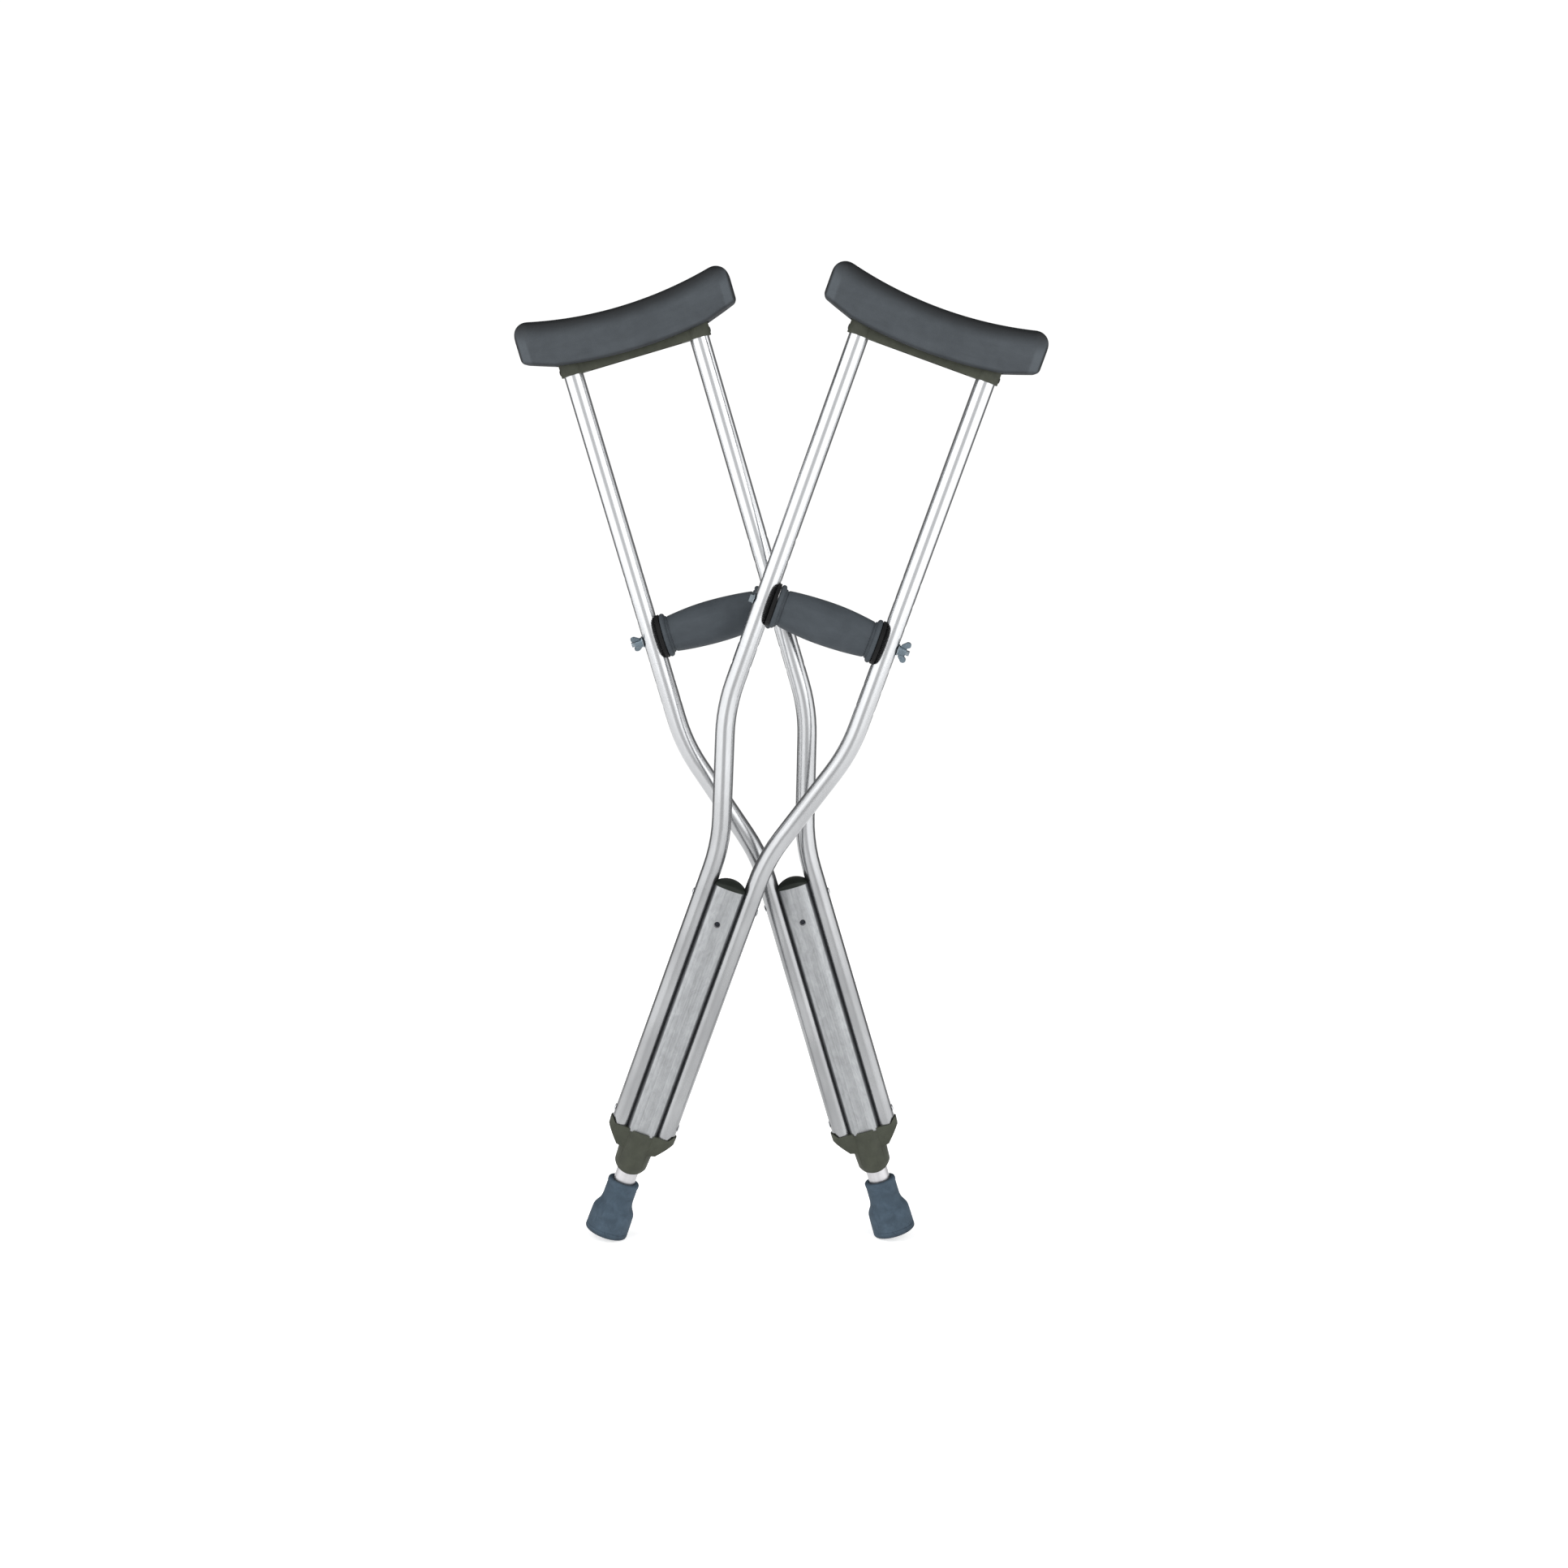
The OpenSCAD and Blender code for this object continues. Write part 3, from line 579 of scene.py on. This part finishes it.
def rubber(name, side, colour, specular):
    """Matt rubber with a dusty bloom, fine moulding grain, a dark rim of painted shade at the
    sole, and scuffs.
    """
    f = Finish(name, side, Specular_IOR_Level=specular)
    cloud = f.noise((70, 70, 70), 4.0, 0.6, 0.5)
    grain = f.noise((1300, 1300, 1300), 4.0, 0.6)
    z = f.axis("Z")
    # painted shade: darker in a thin band at the sole
    low = z.between(0.0, 0.006, 1.0, 0.0)
    scuff = f.noise((260, 260, 120), 5.0, 0.75, 1.2).between(0.52, 0.66)
    scuff = scuff * z.between(0.004, 0.03, 1.0, 0.25)
    base = f.mix(cloud.between(0.3, 0.7), tint(colour, 1.22), tint(colour, 0.78))
    base = f.mix(low * 0.75, base, tint(colour, 0.3))
    base = f.mix(scuff * 0.3, base, tint(colour, 1.9))
    return f.show(Base_Color=base, Roughness=0.68 + cloud * 0.16,
                  Normal=f.bump(grain + scuff * 0.4, 0.00012, 0.45))


def extruded_aluminium(name, side, colour, rough):
    """Satin extrusion: strong die lines along it, a mottled matt skin between them, and a dark
    line of painted shade along the seams beside the side tubes."""
    f = Finish(name, side, Metallic=1.0)
    die = f.noise((520, 520, 3), 3.0, 0.7)
    fine_die = f.noise((1900, 1900, 8), 2.0, 0.6)
    mottle = f.noise((150, 150, 70), 5.0, 0.72, 0.6)
    blot = f.noise((40, 40, 16), 3.0)
    shade = die.between(0.3, 0.7) * 0.45 + mottle.between(0.35, 0.68) * 0.4 + blot * 0.2
    base = f.mix(shade, tint(colour, 1.16), tint(colour, 0.62))
    # painted shade: a dark line along the seams beside the side tubes
    seam_shade = (f.axis("X") ** 2).between(0.0150 ** 2, 0.0168 ** 2)
    base = f.mix(seam_shade * SEAM_SHADE_COVER, base, SEAM_SHADE)
    roughness = rough + mottle * 0.16 + die * 0.08 + seam_shade * SEAM_ROUGH
    return f.show(Base_Color=base, Roughness=roughness,
                  Normal=f.bump(die * 0.8 + fine_die * 0.4 + mottle * 0.35, 0.00005, 0.5))


# Each slot's maker, its colour, and then that maker's own numbers in order
FINISHES = {
    "cushion": (foam_skin, (0.046, 0.053, 0.060), 0.2),
    "grip_foam": (foam_skin, (0.044, 0.052, 0.060), 0.2),
    "olive_plastic": (moulded, (0.042, 0.046, 0.033), 0.5, 0.00016, 0.75, 0.25, 0.08),
    "saddle_plastic": (moulded, (0.005, 0.005, 0.0055), 0.5, 0.00005, 0.3, 0.15),
    "cap_plastic": (moulded, (0.010, 0.013, 0.010), 0.45, 0.0001, 0.4, 0.2),
    "black_plastic": (moulded, (0.018, 0.018, 0.019), 0.45, 0.0001),
    "nylon": (moulded, (0.62, 0.61, 0.56), 0.42, 0.00006, 0.3),
    "dark_rivet": (cast_metal, (0.09, 0.09, 0.085), 0.4, 0.00004),
    "bright_tube": (drawn_aluminium, (0.62, 0.63, 0.645), 0.15, 0.4, 0.3, (0.66, 0.85), True),
    "leg_tube": (drawn_aluminium, (0.52, 0.515, 0.53), 0.26, 0.4, 0.4, (0.06, 0.34)),
    "satin_extrusion": (extruded_aluminium, (0.36, 0.37, 0.38), 0.34),
    "rivet": (cast_metal, (0.62, 0.63, 0.65), 0.28, 0.00003),
    "spring_steel": (cast_metal, (0.035, 0.038, 0.045), 0.4, 0.00002),
    "zinc_steel": (cast_metal, (0.24, 0.28, 0.31), 0.3, 0.00004),
    "button_steel": (cast_metal, (0.68, 0.69, 0.70), 0.18, 0.00002),
    "wing_nut_zinc": (cast_metal, (0.15, 0.19, 0.22), 0.36, 0.00008),
    "tip_rubber": (rubber, (0.044, 0.066, 0.090), 0.2),
}

slot_of = {part["node"]: part["material_slot"] for part in frame["record"]["subparts"]}
made = {side: {slot: make(slot, side, *numbers) for slot, (make, *numbers) in FINISHES.items()}
        for side in CRUTCHES}
for node, obj in frame["nodes"].items():
    obj.data.materials.clear()
    obj.data.materials.append(made[node.split("_")[0]][slot_of[node]])


# ---------------------------------------------------------------- pieces


def bending_spring(side):
    """A copy of the button spring's CAD shape, with its duplicate points merged and smooth
    shading, put in place of the CAD part, which is hidden."""
    node = f"{side}_button_spring"
    source = frame["nodes"][node]
    mesh = source.data.copy()
    mesh.transform(source.matrix_world)
    merged = bmesh.new()
    merged.from_mesh(mesh)
    bmesh.ops.remove_doubles(merged, verts=merged.verts, dist=1e-6)
    merged.to_mesh(mesh)
    merged.free()
    if "custom_normal" in mesh.attributes:
        mesh.attributes.remove(mesh.attributes["custom_normal"])
    mesh.shade_smooth()
    mesh.set_sharp_from_angle(angle=math.radians(35))
    obj = bpy.data.objects.new(f"{side}_leaf_spring", mesh)
    bpy.context.scene.collection.objects.link(obj)
    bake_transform(obj)
    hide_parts(node)


cushion = cushion_rings()
grip = grip_rings()
tip = dense(tip_rings(), 1.2)
unmarked = np.zeros(grip.shape[:2])
for side in CRUTCHES:
    pad = piece(f"{side}_cushion", side, cushion, "underarm_pad", "frame",
                made[side]["cushion"], marks=cushion_marks(cushion))
    sleeve = piece(f"{side}_hand_grip", side, grip, "grip_sleeve", "grip",
                   made[side]["grip_foam"], loop=True,
                   marks={"upper": unmarked, "ends": unmarked})
    piece(f"{side}_ferrule", side, tip, "rubber_tip", "leg", made[side]["tip_rubber"])
    bending_spring(side)


# ---------------------------------------------------------------- floor, light and camera

FLOOR_R, FLOOR_SIDES = 2.2, 96


def floor():
    """A pale round plane."""
    mesh = bpy.data.meshes.new("floor")
    angle = np.linspace(0, 2 * np.pi, FLOOR_SIDES, endpoint=False)
    rim = np.stack([FLOOR_R * np.cos(angle), FLOOR_R * np.sin(angle), 0 * angle], 1)
    mesh.from_pydata(rim.tolist(), [], [tuple(range(FLOOR_SIDES))])
    material = bpy.data.materials.new("floor")
    material.use_nodes = True
    shader = material.node_tree.nodes["Principled BSDF"]
    shader.inputs["Base Color"].default_value = (0.93, 0.93, 0.93, 1)
    shader.inputs["Roughness"].default_value = 0.7
    shader.inputs["Specular IOR Level"].default_value = 0.1
    shader.inputs["Emission Color"].default_value = (1, 1, 1, 1)
    shader.inputs["Emission Strength"].default_value = 0.55
    mesh.materials.append(material)
    obj = bpy.data.objects.new("floor", mesh)
    bpy.context.scene.collection.objects.link(obj)


def softbox(name, at, to, width, height, power):
    """A rectangular lamp of that power in watts, facing a point."""
    light = bpy.data.lights.new(name, "AREA")
    light.shape, light.size, light.size_y, light.energy = "RECTANGLE", width, height, power
    obj = bpy.data.objects.new(name, light)
    obj.location = at
    obj.rotation_mode = "QUATERNION"
    obj.rotation_quaternion = (Vector(to) - Vector(at)).to_track_quat("-Z", "Y")
    bpy.context.scene.collection.objects.link(obj)


def studio_walls():
    """Radiance by direction, from behind the object (0) round either side to the front (1):
    dark behind, so that bright tubes keep grey edges, white from the sides to the front, and a
    grey gap in the very front. It falls off overhead. The backdrop itself is plain white."""
    world = bpy.data.worlds.new("studio")
    bpy.context.scene.world = world
    t = Tree(world)
    where = t.add("ShaderNodeTexCoord", {}, {}, "Generated")
    x, y, z = (t.add("ShaderNodeSeparateXYZ", {}, {0: where}, axis) for axis in "XYZ")
    turn = t.add("ShaderNodeMath", {"operation": "ARCTAN2"}, {0: x, 1: y})
    share = t.add("ShaderNodeMath", {"operation": "ABSOLUTE"}, {0: turn}) / math.pi
    stops = [(0.0, 0.22), (0.20, 0.08), (0.37, 0.1), (0.44, 0.85), (0.86, 1.0), (0.91, 0.42),
             (1.0, 0.38)]
    around = t.add("ShaderNodeValToRGB", {"stops": stops}, {0: share})
    backdrop = t.add("ShaderNodeLightPath", {}, {}, "Is Camera Ray")
    glow = z.between(0.5, 0.95, 2.0, 0.6)
    t.put(t.nodes["Background"].inputs["Color"], t.mix(backdrop, around, (1, 1, 1)))
    t.put(t.nodes["Background"].inputs["Strength"], backdrop.between(0.0, 1.0, glow, 1.05))


def camera():
    """A camera in front of the crutches, a little above their middle and slightly rolled."""
    data = bpy.data.cameras.new("camera")
    data.sensor_width, data.lens = 36, 51.01
    data.clip_start, data.clip_end = 0.05, 60
    obj = bpy.data.objects.new("camera", data)
    pan, tilt, roll = (Matrix.Rotation(math.radians(degrees), 4, axis)
                       for degrees, axis in ((0.69, "Z"), (81.31, "X"), (2.81, "Z")))
    obj.matrix_world = Matrix.Translation((0.0602, -2.507, 0.9240)) @ (pan @ tilt @ roll)
    bpy.context.scene.collection.objects.link(obj)
    bpy.context.scene.camera = obj


floor()
studio_walls()
middle_of_pair = (0, 0, 0.6)
softbox("key", (-1.6, -2.2, 2.4), middle_of_pair, 1.6, 1.6, 16)
softbox("fill", (1.9, -1.8, 1.7), middle_of_pair, 1.4, 1.8, 8)
camera()
bpy.context.scene.view_settings.view_transform = "Standard"
